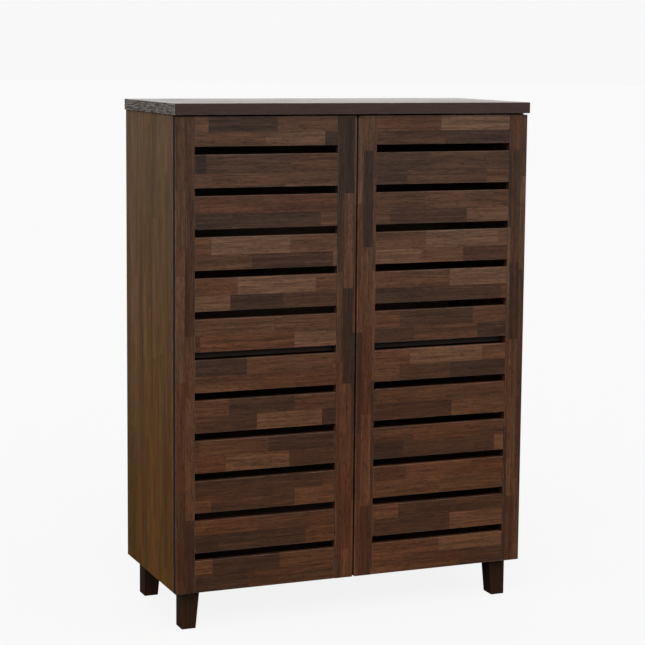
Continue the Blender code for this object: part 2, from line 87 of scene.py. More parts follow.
class NodeBoard:
    """A node tree, with short calls that add its nodes and join them."""

    def __init__(self, tree: bpy.types.NodeTree) -> None:
        """Takes the tree to build in."""
        self.tree = tree

    def feed(self, socket: Socket, given: Feed) -> None:
        """Joins a socket to another, or sets its own value.

        Args:
            socket: The input to feed.
            given: An output socket, a number, or a tuple of numbers.
        """
        if isinstance(given, bpy.types.NodeSocket):
            self.tree.links.new(given, socket)
        elif isinstance(given, tuple) and len(given) == 3 and socket.type == "RGBA":
            socket.default_value = (*given, 1.0)
        else:
            socket.default_value = given

    def add(self, kind: str, feeds: dict[str, Feed] | None = None, **settings: object) -> bpy.types.Node:
        """Adds a node.

        Args:
            kind: The node's type name.
            feeds: What each named input is given.
            **settings: The node's own properties.

        Returns:
            The new node.
        """
        node = self.tree.nodes.new(kind)
        for key, value in settings.items():
            setattr(node, key, value)
        for name, given in (feeds or {}).items():
            self.feed(node.inputs[name], given)
        return node

    def maths(self, operation: str, *terms: Feed) -> Socket:
        """Works out one number.

        Args:
            operation: The Math node's operation.
            *terms: Its inputs.

        Returns:
            The result's socket.
        """
        node = self.add("ShaderNodeMath", operation=operation)
        for place, term in enumerate(terms):
            self.feed(node.inputs[place], term)
        return node.outputs[0]

    def vectors(self, operation: str, first: Feed, second: Feed) -> bpy.types.Node:
        """Works on two vectors.

        Args:
            operation: The Vector Math node's operation.
            first: The first vector.
            second: The second vector.

        Returns:
            The new node.
        """
        node = self.add("ShaderNodeVectorMath", operation=operation)
        self.feed(node.inputs[0], first)
        self.feed(node.inputs[1], second)
        return node

    def scaled(self, vector: Feed, by: tuple[float, float, float]) -> Socket:
        """Returns the vector with each of its parts multiplied."""
        return self.vectors("MULTIPLY", vector, by).outputs["Vector"]

    def moved(self, vector: Feed, by: Feed) -> Socket:
        """Returns the sum of two vectors."""
        return self.vectors("ADD", vector, by).outputs["Vector"]

    def meet(self, first: Feed, second: Feed) -> Socket:
        """Returns the product of two directions: 1 where they agree, 0 where they stand square."""
        return self.vectors("DOT_PRODUCT", first, second).outputs["Value"]

    def apart(self, vector: Feed) -> tuple[Socket, Socket, Socket]:
        """Returns the three parts of a vector."""
        node = self.add("ShaderNodeSeparateXYZ", {"Vector": vector})
        return node.outputs[0], node.outputs[1], node.outputs[2]

    def together(self, first: Feed, second: Feed, third: Feed) -> Socket:
        """Returns a vector of three parts."""
        return self.add("ShaderNodeCombineXYZ", {"X": first, "Y": second, "Z": third}).outputs[0]

    def fade(self, value: Feed, low: Feed, high: Feed, start: Feed = 0.0, end: Feed = 1.0) -> Socket:
        """Maps a number smoothly from one span to another.

        Args:
            value: The number.
            low: Where the change begins.
            high: Where the change ends.
            start: The result up to low.
            end: The result from high on.

        Returns:
            The result's socket.
        """
        feeds = {"Value": value, "From Min": low, "From Max": high, "To Min": start, "To Max": end}
        return self.add("ShaderNodeMapRange", feeds, interpolation_type="SMOOTHSTEP").outputs[0]

    def cloud(self, vector: Feed, scale: float, detail: float = 3.0, rough: float = 0.55) -> Socket:
        """Returns a noise from 0 to 1."""
        feeds = {"Vector": vector, "Scale": scale, "Detail": detail, "Roughness": rough}
        return self.add("ShaderNodeTexNoise", feeds).outputs["Fac"]

    def blend(self, share: Feed, first: Feed, second: Feed, way: str = "MIX") -> Socket:
        """Mixes two colours.

        Args:
            share: How much of the second colour there is.
            first: The colour at 0.
            second: The colour at 1.
            way: The Mix node's blend type.

        Returns:
            The mixed colour's socket.
        """
        node = self.add("ShaderNodeMix", data_type="RGBA", blend_type=way)
        for place, given in ((0, share), (6, first), (7, second)):
            self.feed(node.inputs[place], given)
        return node.outputs[2]

    def between(self, share: Feed, first: Feed, second: Feed) -> Socket:
        """Mixes two numbers.

        Args:
            share: How much of the second number there is.
            first: The number at 0.
            second: The number at 1.

        Returns:
            The mixed number's socket.
        """
        node = self.add("ShaderNodeMix", data_type="FLOAT")
        for place, given in ((0, share), (2, first), (3, second)):
            self.feed(node.inputs[place], given)
        return node.outputs[0]

    def ramp(self, value: Feed, stops: Iterable[tuple[float, Colour]]) -> Socket:
        """Turns a number into a colour through a row of stops.

        Args:
            value: The number, from 0 to 1.
            stops: Each stop's place and colour.

        Returns:
            The colour's socket.
        """
        node = self.add("ShaderNodeValToRGB", {"Fac": value})
        scale = node.color_ramp
        for place, (position, colour) in enumerate(stops):
            stop = scale.elements[place] if place < 2 else scale.elements.new(position)
            stop.position, stop.color = position, (*colour, 1.0)
        return node.outputs["Color"]

    def object_place(self) -> Socket:
        """Returns the place in the object's own coordinates, which ride with it."""
        return self.add("ShaderNodeTexCoord").outputs["Object"]

    def normal(self) -> Socket:
        """Returns the direction that the surface faces."""
        return self.add("ShaderNodeNewGeometry").outputs["Normal"]

    def seen(self) -> Socket:
        """Returns 1 for what the camera sees directly, else 0."""
        return self.add("ShaderNodeLightPath").outputs["Is Camera Ray"]

    def laid(self, lay: GrainLay) -> Socket:
        """Returns the object's place with X turned along the grain and Y across the strips."""
        parts = dict(zip("XYZ", self.apart(self.object_place())))
        return self.together(*(parts[axis] for axis in lay.value))

    def place(self, group: type[EffectGroup], **values: Feed) -> dict[str, Socket]:
        """Places an effect group with its own values.

        Args:
            group: The effect.
            **values: What its inputs are given, with underscores for spaces in their names.

        Returns:
            The group's outputs by name.
        """
        node = self.add("ShaderNodeGroup", node_tree=group.tree())
        for name, given in values.items():
            self.feed(node.inputs[name.replace("_", " ").title()], given)
        return {output.name: output for output in node.outputs}


class EffectGroup:
    """A shader node group, built once and placed in each material with that material's values.

    Every effect takes a vector and the numbers that are listed in takes.
    """

    title: ClassVar[str] = ""
    takes: ClassVar[tuple[str, ...]] = ()
    gives: ClassVar[tuple[str, ...]] = ()

    @classmethod
    def tree(cls) -> bpy.types.NodeTree:
        """Finds or builds the group's node tree.

        Returns:
            The tree, built on its first use.
        """
        found = bpy.data.node_groups.get(cls.title)
        if found:
            return found
        made = bpy.data.node_groups.new(cls.title, "ShaderNodeTree")
        for side, names in (("INPUT", ("Vector", *cls.takes)), ("OUTPUT", cls.gives)):
            for name in names:
                kind = "NodeSocketVector" if name == "Vector" else "NodeSocketFloat"
                made.interface.new_socket(name=name, in_out=side, socket_type=kind)
        board = NodeBoard(made)
        inlet, outlet = board.add("NodeGroupInput"), board.add("NodeGroupOutput")
        for name, result in cls.weave(board, {port.name: port for port in inlet.outputs}).items():
            board.feed(outlet.inputs[name], result)
        return made

    @classmethod
    def weave(cls, board: NodeBoard, given: dict[str, Socket]) -> dict[str, Socket]:
        """Builds the effect.

        Args:
            board: The group's own tree.
            given: The group's inputs by name.

        Returns:
            What each output is given, by name.
        """
        raise NotImplementedError


class GluedStrips(EffectGroup):
    """Strips of timber glued side by side, each made of blocks of its own length and shade."""

    title = "Glued strips"
    takes = ("Strip Width", "Block Length", "Seed")
    gives = ("Tone", "Warmth", "Shift", "Seam")
    row_jump: ClassVar[float] = 91.7
    unevenness: ClassVar[float] = 0.85
    seam: ClassVar[Span] = (0.0001, 0.0009)

    @classmethod
    def weave(cls, board: NodeBoard, given: dict[str, Socket]) -> dict[str, Socket]:
        """Builds the strips, their blocks and the lines between them.

        Args:
            board: The group's own tree.
            given: The group's inputs by name.

        Returns:
            What each output is given, by name.
        """
        along, across, _ = board.apart(given["Vector"])
        width, length, seed = given["Strip Width"], given["Block Length"], given["Seed"]
        rows = board.maths("ADD", board.maths("DIVIDE", across, width), seed)
        row, inside = board.maths("FLOOR", rows), board.maths("FRACT", rows)
        luck = board.add("ShaderNodeTexWhiteNoise", {"W": row}, noise_dimensions="1D").outputs["Value"]
        jump = board.maths("MULTIPLY", luck, cls.row_jump)
        run = board.maths("ADD", board.maths("DIVIDE", along, length), jump)
        place = {"W": board.maths("ADD", run, seed), "Scale": 1.0, "Randomness": cls.unevenness}
        blocks, ends = (
            board.add("ShaderNodeTexVoronoi", place, voronoi_dimensions="1D", feature=feature)
            for feature in ("F1", "DISTANCE_TO_EDGE")
        )
        shades = board.add("ShaderNodeSeparateColor", {"Color": blocks.outputs["Color"]}).outputs
        end_gap = board.maths("MULTIPLY", ends.outputs["Distance"], length)
        side = board.maths("MINIMUM", inside, board.maths("SUBTRACT", 1.0, inside))
        gap = board.maths("MINIMUM", end_gap, board.maths("MULTIPLY", side, width))
        return {
            "Tone": shades[0],
            "Warmth": shades[1],
            "Shift": shades[2],
            "Seam": board.fade(gap, *cls.seam, 1.0, 0.0),
        }


@dataclass(frozen=True)
class Grain:
    """One scale of a wood's figure: a noise drawn out along the grain, and the span of it that shows."""

    along: float
    across: float
    detail: float
    rough: float
    span: Span = (0.0, 1.0)

    def noise(self, board: NodeBoard, spot: Socket) -> Socket:
        """Returns the whole noise."""
        stretched = board.scaled(spot, (self.along, self.across, self.across))
        return board.cloud(stretched, 1.0, self.detail, self.rough)


class WoodFigure(EffectGroup):
    """The figure of one block: streaks, lines, flecks, fibres and open pores, all along the grain."""

    title = "Wood figure"
    takes = ("Shift", "Wave")
    grains: ClassVar[dict[str, Grain]] = {
        "Streak": Grain(3.2, 120.0, 4.0, 0.60, (0.30, 0.70)),
        "Line": Grain(14.0, 300.0, 3.0, 0.65, (0.32, 0.68)),
        "Fleck": Grain(75.0, 290.0, 2.0, 0.60, (0.50, 0.70)),
        "Fibre": Grain(22.0, 760.0, 3.0, 0.60, (0.32, 0.68)),
        "Pore": Grain(95.0, 1500.0, 1.0, 0.50, (0.60, 0.70)),
    }
    gives = (*grains, "Relief")
    wander: ClassVar[Grain] = Grain(5.0, 24.0, 2.0, 0.55)
    block_jump: ClassVar[tuple[float, float, float]] = (3.7, 1.9, 2.3)
    fibre_height: ClassVar[float] = 0.35
    pore_height: ClassVar[float] = 0.65

    @classmethod
    def weave(cls, board: NodeBoard, given: dict[str, Socket]) -> dict[str, Socket]:
        """Builds the five scales of figure, and the height that they give the surface.

        Args:
            board: The group's own tree.
            given: The group's inputs by name.

        Returns:
            What each output is given, by name.
        """
        shift = board.scaled(board.together(*[given["Shift"]] * 3), cls.block_jump)
        spot = board.moved(given["Vector"], shift)
        aside = board.maths("SUBTRACT", cls.wander.noise(board, spot), 0.5)
        sway = board.maths("MULTIPLY", aside, given["Wave"])
        spot = board.moved(spot, board.together(0.0, sway, sway))
        noises = {name: grain.noise(board, spot) for name, grain in cls.grains.items()}
        shown = {name: board.fade(noises[name], *grain.span) for name, grain in cls.grains.items()}
        raised = board.maths("MULTIPLY", noises["Fibre"], cls.fibre_height)
        sunk = board.maths("MULTIPLY", shown["Pore"], cls.pore_height)
        return {**shown, "Relief": board.maths("SUBTRACT", raised, sunk)}


class EdgeRubAndHighlight(EffectGroup):
    """Where an edge is lightened: the rounding of the edges, broken up by a noise; wear on most finishes,
    a painted highlight on the strip wood.
    """

    title = "Edge rub and painted highlight"
    takes = ("Reach", "Amount")
    gives = ("Rub And Highlight",)
    bevel_samples: ClassVar[int] = 6
    turn: ClassVar[Span] = (0.01, 0.16)
    least: ClassVar[float] = 0.25

    @classmethod
    def weave(cls, board: NodeBoard, given: dict[str, Socket]) -> dict[str, Socket]:
        """Compares the rounded normal with the true one, and thins the result out.

        Args:
            board: The group's own tree.
            given: The group's inputs by name.

        Returns:
            What each output is given, by name.
        """
        feeds = {"Radius": given["Reach"]}
        rounded = board.add("ShaderNodeBevel", feeds, samples=cls.bevel_samples).outputs[0]
        apart = board.maths("SUBTRACT", 1.0, board.meet(rounded, board.normal()))
        noise = board.cloud(given["Vector"], 55.0, 4.0, 0.65)
        broken = board.fade(noise, 0.35, 0.65, cls.least, 1.0)
        rub_and_highlight = board.maths("MULTIPLY", board.fade(apart, *cls.turn), broken)
        return {"Rub And Highlight": board.maths("MULTIPLY", rub_and_highlight, given["Amount"])}


class FineDust(EffectGroup):
    """A thin veil of dust on what faces up."""

    title = "Fine dust"
    takes = ("Amount",)
    gives = ("Dust",)
    steepness: ClassVar[Span] = (0.6, 0.98)
    least: ClassVar[float] = 0.35

    @classmethod
    def weave(cls, board: NodeBoard, given: dict[str, Socket]) -> dict[str, Socket]:
        """Finds the faces that look up and scatters the dust on them.

        Args:
            board: The group's own tree.
            given: The group's inputs by name.

        Returns:
            What each output is given, by name.
        """
        level = board.fade(board.apart(board.normal())[2], *cls.steepness)
        noise = board.cloud(given["Vector"], 9.0, 5.0, 0.6)
        drift = board.fade(noise, 0.35, 0.7, cls.least, 1.0)
        dust = board.maths("MULTIPLY", level, drift)
        return {"Dust": board.maths("MULTIPLY", dust, given["Amount"])}


class HandPolish(EffectGroup):
    """Uneven gloss: broad patches of handling with a fine tooth in them."""

    title = "Hand polish"
    takes = ("Low", "High")
    gives = ("Gloss",)
    broad_share: ClassVar[float] = 0.75
    fine_share: ClassVar[float] = 0.25

    @classmethod
    def weave(cls, board: NodeBoard, given: dict[str, Socket]) -> dict[str, Socket]:
        """Adds a broad noise and a fine one, between the two given limits.

        Args:
            board: The group's own tree.
            given: The group's inputs by name.

        Returns:
            What each output is given, by name.
        """
        broad = board.maths("MULTIPLY", board.cloud(given["Vector"], 6.0, 3.0), cls.broad_share)
        fine = board.maths("MULTIPLY", board.cloud(given["Vector"], 240.0, 2.0), cls.fine_share)
        mixed = board.maths("ADD", broad, fine)
        return {"Gloss": board.fade(mixed, 0.3, 0.7, given["Low"], given["High"])}


# ------------------------------------------------------------------------------------------------
# Finishes
# ------------------------------------------------------------------------------------------------


def new_material(
    title: str, plain: dict[str, Feed]
) -> tuple[bpy.types.Material, NodeBoard, bpy.types.Node]:
    """Makes a material with one Principled shader.

    Args:
        title: The material's name.
        plain: The shader's values that are the same all over.

    Returns:
        The material, its board, and its shader.
    """
    material = bpy.data.materials.new(title)
    material.use_nodes = True
    board = NodeBoard(material.node_tree)
    shader = material.node_tree.nodes["Principled BSDF"]
    for name, value in plain.items():
        board.feed(shader.inputs[name], value)
    return material, board, shader


@dataclass(frozen=True)
class Figure:
    """What a finish's own pattern gives: colour, height and vector, and what it adds to the roughness."""

    colour: Socket
    height: Socket
    vector: Socket
    dull: Feed = 0.0


@dataclass(frozen=True, kw_only=True)
class Coating:
    """A finish, with the edge wear that every finish has, which on the strip wood is a painted highlight.

    Plain holds the shader's values that are the same all over. The edges are lightened to the wear and
    highlight colour, by the amount of rub and highlight and within reach of the edge: wear on most
    finishes, a painted highlight on the strip wood. The gloss is the least and the most roughness. The
    bump is the relief's strength, and the lift its height.
    """

    title: str
    plain: Plain
    gloss: Span
    wear_and_highlight: Colour
    rub_and_highlight: float
    reach: float
    bump: float
    lift: float
    dust: float = 0.0
    dust_colour: Colour = (0.33, 0.30, 0.27)

    def figure(self, board: NodeBoard) -> Figure:
        """Builds the finish's own pattern on the material's board."""
        raise NotImplementedError

    def dress(self) -> bpy.types.Material:
        """Makes the finished material: the pattern, with its lightened edges (wear, and a painted
        highlight on the strip wood), gloss and relief.

        Returns:
            The finished material.
        """
        material, board, shader = new_material(self.title, dict(self.plain))
        figure = self.figure(board)
        # Lightened edges: wear on most finishes, a painted highlight on the strip wood's eased edges.
        rub_and_highlight = board.place(EdgeRubAndHighlight, vector=figure.vector, reach=self.reach, amount=self.rub_and_highlight)["Rub And Highlight"]
        colour = board.blend(rub_and_highlight, figure.colour, self.wear_and_highlight)
        if self.dust:
            veil = board.place(FineDust, vector=figure.vector, amount=self.dust)["Dust"]
            colour = board.blend(veil, colour, self.dust_colour)
        low, high = self.gloss
        gloss = board.place(HandPolish, vector=figure.vector, low=low, high=high)["Gloss"]
        relief = {"Strength": self.bump, "Distance": self.lift, "Height": figure.height}
        board.feed(shader.inputs["Base Color"], colour)
        board.feed(shader.inputs["Roughness"], board.maths("ADD", gloss, figure.dull))
        board.feed(shader.inputs["Normal"], board.add("ShaderNodeBump", relief).outputs["Normal"])
        return material


@dataclass(frozen=True, kw_only=True)
class StripWood(Coating):
    """Walnut in glued strips under a satin lacquer.

    The tones run from the darkest block to the lightest, and some blocks turn towards the warm colour.
    The painted top light is the factor by which each channel of the cabinet's upper part is painted
    lighter, a painted veil of light that grows towards the top. It comes in over its span of heights.
    """

    lay: GrainLay
    strip_width: float
    block_length: float
    seed: float
    tones: tuple[tuple[float, Colour], ...]
    plain: Plain = (("Specular IOR Level", 0.2),)
    warm: Colour = (0.118, 0.034, 0.0120)
    warm_share: float = 0.45
    warm_span: Span = (0.45, 0.95)
    # Painted light: how much lighter each channel of the upper part is painted, and over which heights.
    painted_top_light: Colour = (1.03, 1.33, 1.85)
    painted_top_light_span: Span = (0.25, 0.95)
    wave: float = 0.003
    streak_depth: float = 0.24
    line_depth: float = 0.20
    fleck_depth: float = 0.36
    fibre_depth: float = 0.22
    pore_depth: float = 0.45
    seam_depth: float = 0.14
    seam_sink: float = 0.5
    gloss: Span = (0.42, 0.56)
    # Painted highlight: the pale grey edge colour and its strong amount stand in for the light that
    # catches the slats' eased edges.
    wear_and_highlight: Colour = (0.360, 0.295, 0.260)
    rub_and_highlight: float = 0.85
    reach: float = 0.0012
    bump: float = 0.35
    lift: float = 0.00022

    def figure(self, board: NodeBoard) -> Figure:
        """Builds the strips and their figure, painted lighter towards the top and toned by the figure.

        Args:
            board: The material's board.

        Returns:
            The pattern.
        """
        vector = board.laid(self.lay)
        strips = board.place(
            GluedStrips,
            vector=vector,
            strip_width=self.strip_width,
            block_length=self.block_length,
            seed=self.seed,
        )
        figure = board.place(WoodFigure, vector=vector, shift=strips["Shift"], wave=self.wave)
        colour = board.ramp(strips["Tone"], self.tones)
        ruddy = board.maths("MULTIPLY", board.fade(strips["Warmth"], *self.warm_span), self.warm_share)
        colour = board.blend(ruddy, colour, self.warm)
        # Painted light: the colour is painted lighter towards the top, for a veil of light that grows
        # there.
        height = board.apart(board.object_place())[2]
        painted_top_lift = board.blend(board.fade(height, *self.painted_top_light_span), WHITE, self.painted_top_light)
        colour = board.blend(1.0, colour, painted_top_lift, "MULTIPLY")
        shade: Feed = 1.0
        for part, least, most in (
            (figure["Streak"], 1.0 - self.streak_depth, 1.0 + self.streak_depth),
            (figure["Line"], 1.0 - self.line_depth, 1.0 + self.line_depth),
            (figure["Fibre"], 1.0 - self.fibre_depth, 1.0 + self.fibre_depth),
            (figure["Fleck"], 1.0, 1.0 - self.fleck_depth),
            (figure["Pore"], 1.0, 1.0 - self.pore_depth),
            (strips["Seam"], 1.0, 1.0 - self.seam_depth),
        ):
            shade = board.maths("MULTIPLY", shade, board.between(part, least, most))
        colour = board.blend(1.0, colour, board.together(shade, shade, shade), "MULTIPLY")
        sunk = board.maths("MULTIPLY", strips["Seam"], self.seam_sink)
        relief = board.maths("SUBTRACT", figure["Relief"], sunk)
        return Figure(self.trim(board, colour), relief, vector)

    def trim(self, board: NodeBoard, colour: Socket) -> Socket:
        """Colours what differs from the board's face; a plain board has nothing that does.

        Args:
            board: The material's board.
            colour: The face's colour.

        Returns:
            The colour of the whole board.
        """
        return colour


@dataclass(frozen=True, kw_only=True)
class DoorWood(StripWood):
    """A door's finish, with near-black painted shade on the edge at the cabinet's own side, for the
    shaded gap beside the side panel.
    """

    # Painted shade: the near-black colour of the doors' outer edge faces, and how far in from the edge it
    # starts.
    edge: Colour = (0.0160, 0.0095, 0.0075)
    gap_shade_depth: Span = (0.0004, 0.0001)

    def trim(self, board: NodeBoard, colour: Socket) -> Socket:
        """Paints shade on the doors' outer edges, short of their front chamfers.

        Args:
            board: The material's board.
            colour: The face's colour.

        Returns:
            The colour of the whole board.
        """
        outer = abs(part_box("left_door_hinge_stile")[0].x)
        from_middle = board.maths("ABSOLUTE", board.apart(board.object_place())[0])
        # Painted shade on the outer edge face, for the shaded gap between door and side panel.
        in_gap_shade = board.fade(from_middle, *(outer - depth for depth in self.gap_shade_depth))
        return board.blend(in_gap_shade, colour, self.edge)


@dataclass(frozen=True, kw_only=True)
class ShelfWood(StripWood):
    """A shelf's finish, with painted shade along its front, where it sits in shade behind the doors."""

    # Painted shade: the dark colour of the front-facing edges, how much of it covers them, and which
    # faces count as facing the front.
    edge: Colour = (0.0150, 0.0090, 0.0065)
    painted_shade_cover: float = 0.85
    painted_shade_turn: Span = (-0.95, -0.80)

    def trim(self, board: NodeBoard, colour: Socket) -> Socket:
        """Paints shade on the face that looks to the front, so that a little figure shows through.

        Args:
            board: The material's board.
            colour: The face's colour.

        Returns:
            The colour of the whole board.
        """
        towards_back = board.apart(board.normal())[1]
        # Painted shade on the faces that look to the front.
        at_front = board.fade(towards_back, *self.painted_shade_turn, self.painted_shade_cover, 0.0)
        return board.blend(at_front, colour, self.edge)


@dataclass(frozen=True, kw_only=True)
class TopWood(StripWood):
    """The top's finish: strips on its upper face, a plain dark band in front, and mottled grey ends."""

    band: Colour = (0.034, 0.0150, 0.0110)
    band_light: Colour = (0.048, 0.0215, 0.0160)
    band_depth: Span = (0.00045, 0.00095)
    end_dark: Colour = (0.040, 0.030, 0.027)
    end_light: Colour = (0.260, 0.235, 0.225)
    end_depth: Span = (0.0010, 0.0005)

    def trim(self, board: NodeBoard, colour: Socket) -> Socket:
        """Colours the front band and the two ends.

        Args:
            board: The material's board.
            colour: The face's colour.

        Returns:
            The colour of the whole board.
        """
        low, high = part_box("top_panel")
        place = board.object_place()
        x, y, _ = board.apart(place)
        fine = board.cloud(board.scaled(place, (24.0, 60.0, 420.0)), 1.0, 3.0, 0.6)
        banded = board.blend(board.fade(fine, 0.35, 0.65), self.band, self.band_light)
        at_front = board.fade(y, *(low.y + depth for depth in self.band_depth), 1.0, 0.0)
        colour = board.blend(at_front, colour, banded)
        dashes = board.cloud(board.scaled(place, (1.0, 42.0, 430.0)), 1.0, 3.0, 0.75)
        mottled = board.blend(board.fade(dashes, 0.40, 0.62), self.end_dark, self.end_light)
        from_middle = board.maths("ABSOLUTE", x)
        at_end = board.fade(from_middle, *(high.x - depth for depth in self.end_depth))
        return board.blend(at_end, colour, mottled)


@dataclass(frozen=True, kw_only=True)
class StainedWood(Coating):
    """Solid wood under a near-black stain, such as the legs'."""

    lay: GrainLay
    dark: Colour
    light: Colour
    pore: Colour = (0.004, 0.002, 0.002)
    pore_share: float = 0.5
    shift: float = 0.37
    wave: float = 0.004
    plain: Plain = (("Specular IOR Level", 0.2),)
    gloss: Span = (0.38, 0.55)
    wear_and_highlight: Colour = (0.085, 0.050, 0.030)
    rub_and_highlight: float = 0.30
    reach: float = 0.0014
    bump: float = 0.3
    lift: float = 0.0002

    def figure(self, board: NodeBoard) -> Figure:
        """Builds the streaks, with dark pores.

        Args:
            board: The material's board.

        Returns:
            The pattern.
        """
        vector = board.laid(self.lay)
        figure = board.place(WoodFigure, vector=vector, shift=self.shift, wave=self.wave)
        colour = board.blend(figure["Streak"], self.dark, self.light)
        colour = board.blend(board.maths("MULTIPLY", figure["Pore"], self.pore_share), colour, self.pore)
        return Figure(colour, figure["Relief"], vector)


@dataclass(frozen=True, kw_only=True)
class PressedBoard(Coating):
    """Thin brown hardboard with a felted surface, as on a cabinet's back."""

    dark: Colour
    light: Colour
    fleck: Colour = (0.22, 0.15, 0.09)
    fleck_share: float = 0.45
    felt_share: float = 0.6
    patch_share: float = 0.4
    plain: Plain = (("Specular IOR Level", 0.25),)
    gloss: Span = (0.62, 0.82)
    wear_and_highlight: Colour = (0.25, 0.17, 0.11)
    rub_and_highlight: float = 0.5
    reach: float = 0.0010
    bump: float = 0.4
    lift: float = 0.0002

    def figure(self, board: NodeBoard) -> Figure:
        """Builds the felted surface, with patches and pale flecks.

        Args:
            board: The material's board.

        Returns:
            The pattern.
        """
        place = board.object_place()
        felt = board.cloud(place, 420.0, 6.0, 0.75)
        patch = board.cloud(place, 7.0, 4.0, 0.6)
        fleck = board.fade(board.cloud(board.scaled(place, (1.0, 1.0, 0.35)), 900.0, 2.0), 0.62, 0.72)
        felted = board.maths("MULTIPLY", felt, self.felt_share)
        mixed = board.maths("ADD", felted, board.maths("MULTIPLY", patch, self.patch_share))
        colour = board.blend(board.fade(mixed, 0.35, 0.65), self.dark, self.light)
        colour = board.blend(board.maths("MULTIPLY", fleck, self.fleck_share), colour, self.fleck)
        return Figure(colour, felt, place)


@dataclass(frozen=True, kw_only=True)
class PlatedSteel(Coating):
    """Pressed steel under a bright plating, with fine drawn lines and dull spots."""

    bright: Colour
    dull: Colour
    drawn_share: float = 0.35
    spot_share: float = 0.5
    spot_roughness: float = 0.18
    plain: Plain = (("Metallic", 1.0),)
    gloss: Span = (0.18, 0.36)
    wear_and_highlight: Colour = (0.88, 0.87, 0.84)
    rub_and_highlight: float = 0.6
    reach: float = 0.0004
    bump: float = 0.12
    lift: float = 0.00005

    def figure(self, board: NodeBoard) -> Figure:
        """Builds the drawn lines and the dull spots, which are rougher too.

        Args:
            board: The material's board.

        Returns:
            The pattern.
        """
        place = board.object_place()
        drawn = board.cloud(board.scaled(place, (2600.0, 240.0, 2600.0)), 1.0, 2.0, 0.5)
        spots = board.fade(board.cloud(place, 160.0, 5.0, 0.7), 0.55, 0.75)
        lines = board.maths("MULTIPLY", drawn, self.drawn_share)
        share = board.maths("ADD", lines, board.maths("MULTIPLY", spots, self.spot_share))
        colour = board.blend(share, self.bright, self.dull)
        return Figure(colour, drawn, place, board.maths("MULTIPLY", spots, self.spot_roughness))


@dataclass(frozen=True, kw_only=True)
class MouldedPlastic(Coating):
    """Moulded plastic with a spark-eroded tooth, paler in patches and where it is rubbed."""

    base: Colour
    plain: Plain = (("IOR", 1.47),)
    gloss: Span = (0.42, 0.58)
    rub_and_highlight: float = 0.5
    reach: float = 0.0004
    bump: float = 0.25
    lift: float = 0.00006

    def figure(self, board: NodeBoard) -> Figure:
        """Builds the patches and the tooth.

        Args:
            board: The material's board.

        Returns:
            The pattern.
        """
        place = board.object_place()
        tooth = board.cloud(place, 1900.0, 3.0, 0.6)
        patch = board.cloud(place, 90.0, 3.0, 0.6)
        colour = board.blend(board.fade(patch, 0.3, 0.7), self.base, self.wear_and_highlight)
        return Figure(colour, tooth, place)


DOOR_TONES = (
    (0.00, (0.0400, 0.0180, 0.0090)),
    (0.22, (0.0560, 0.0230, 0.0105)),
    (0.50, (0.0820, 0.0310, 0.0125)),
    (0.78, (0.1040, 0.0400, 0.0165)),
    (1.00, (0.1420, 0.0620, 0.0280)),
)
SIDE_TONES = (
    (0.00, (0.0880, 0.0390, 0.0062)),
    (0.35, (0.1030, 0.0450, 0.0074)),
    (0.70, (0.1160, 0.0500, 0.0084)),
    (1.00, (0.1340, 0.0590, 0.0110)),
)
STILE_TONES = (
    (0.00, (0.0330, 0.0140, 0.0068)),
    (0.22, (0.0460, 0.0180, 0.0080)),
    (0.50, (0.0640, 0.0235, 0.0095)),
    (0.78, (0.0800, 0.0300, 0.0120)),
    (1.00, (0.1150, 0.0480, 0.0210)),
)
INNER_TONES = (
    (0.00, (0.0440, 0.0210, 0.0110)),
    (0.50, (0.0640, 0.0295, 0.0150)),
    (1.00, (0.0880, 0.0410, 0.0210)),
)


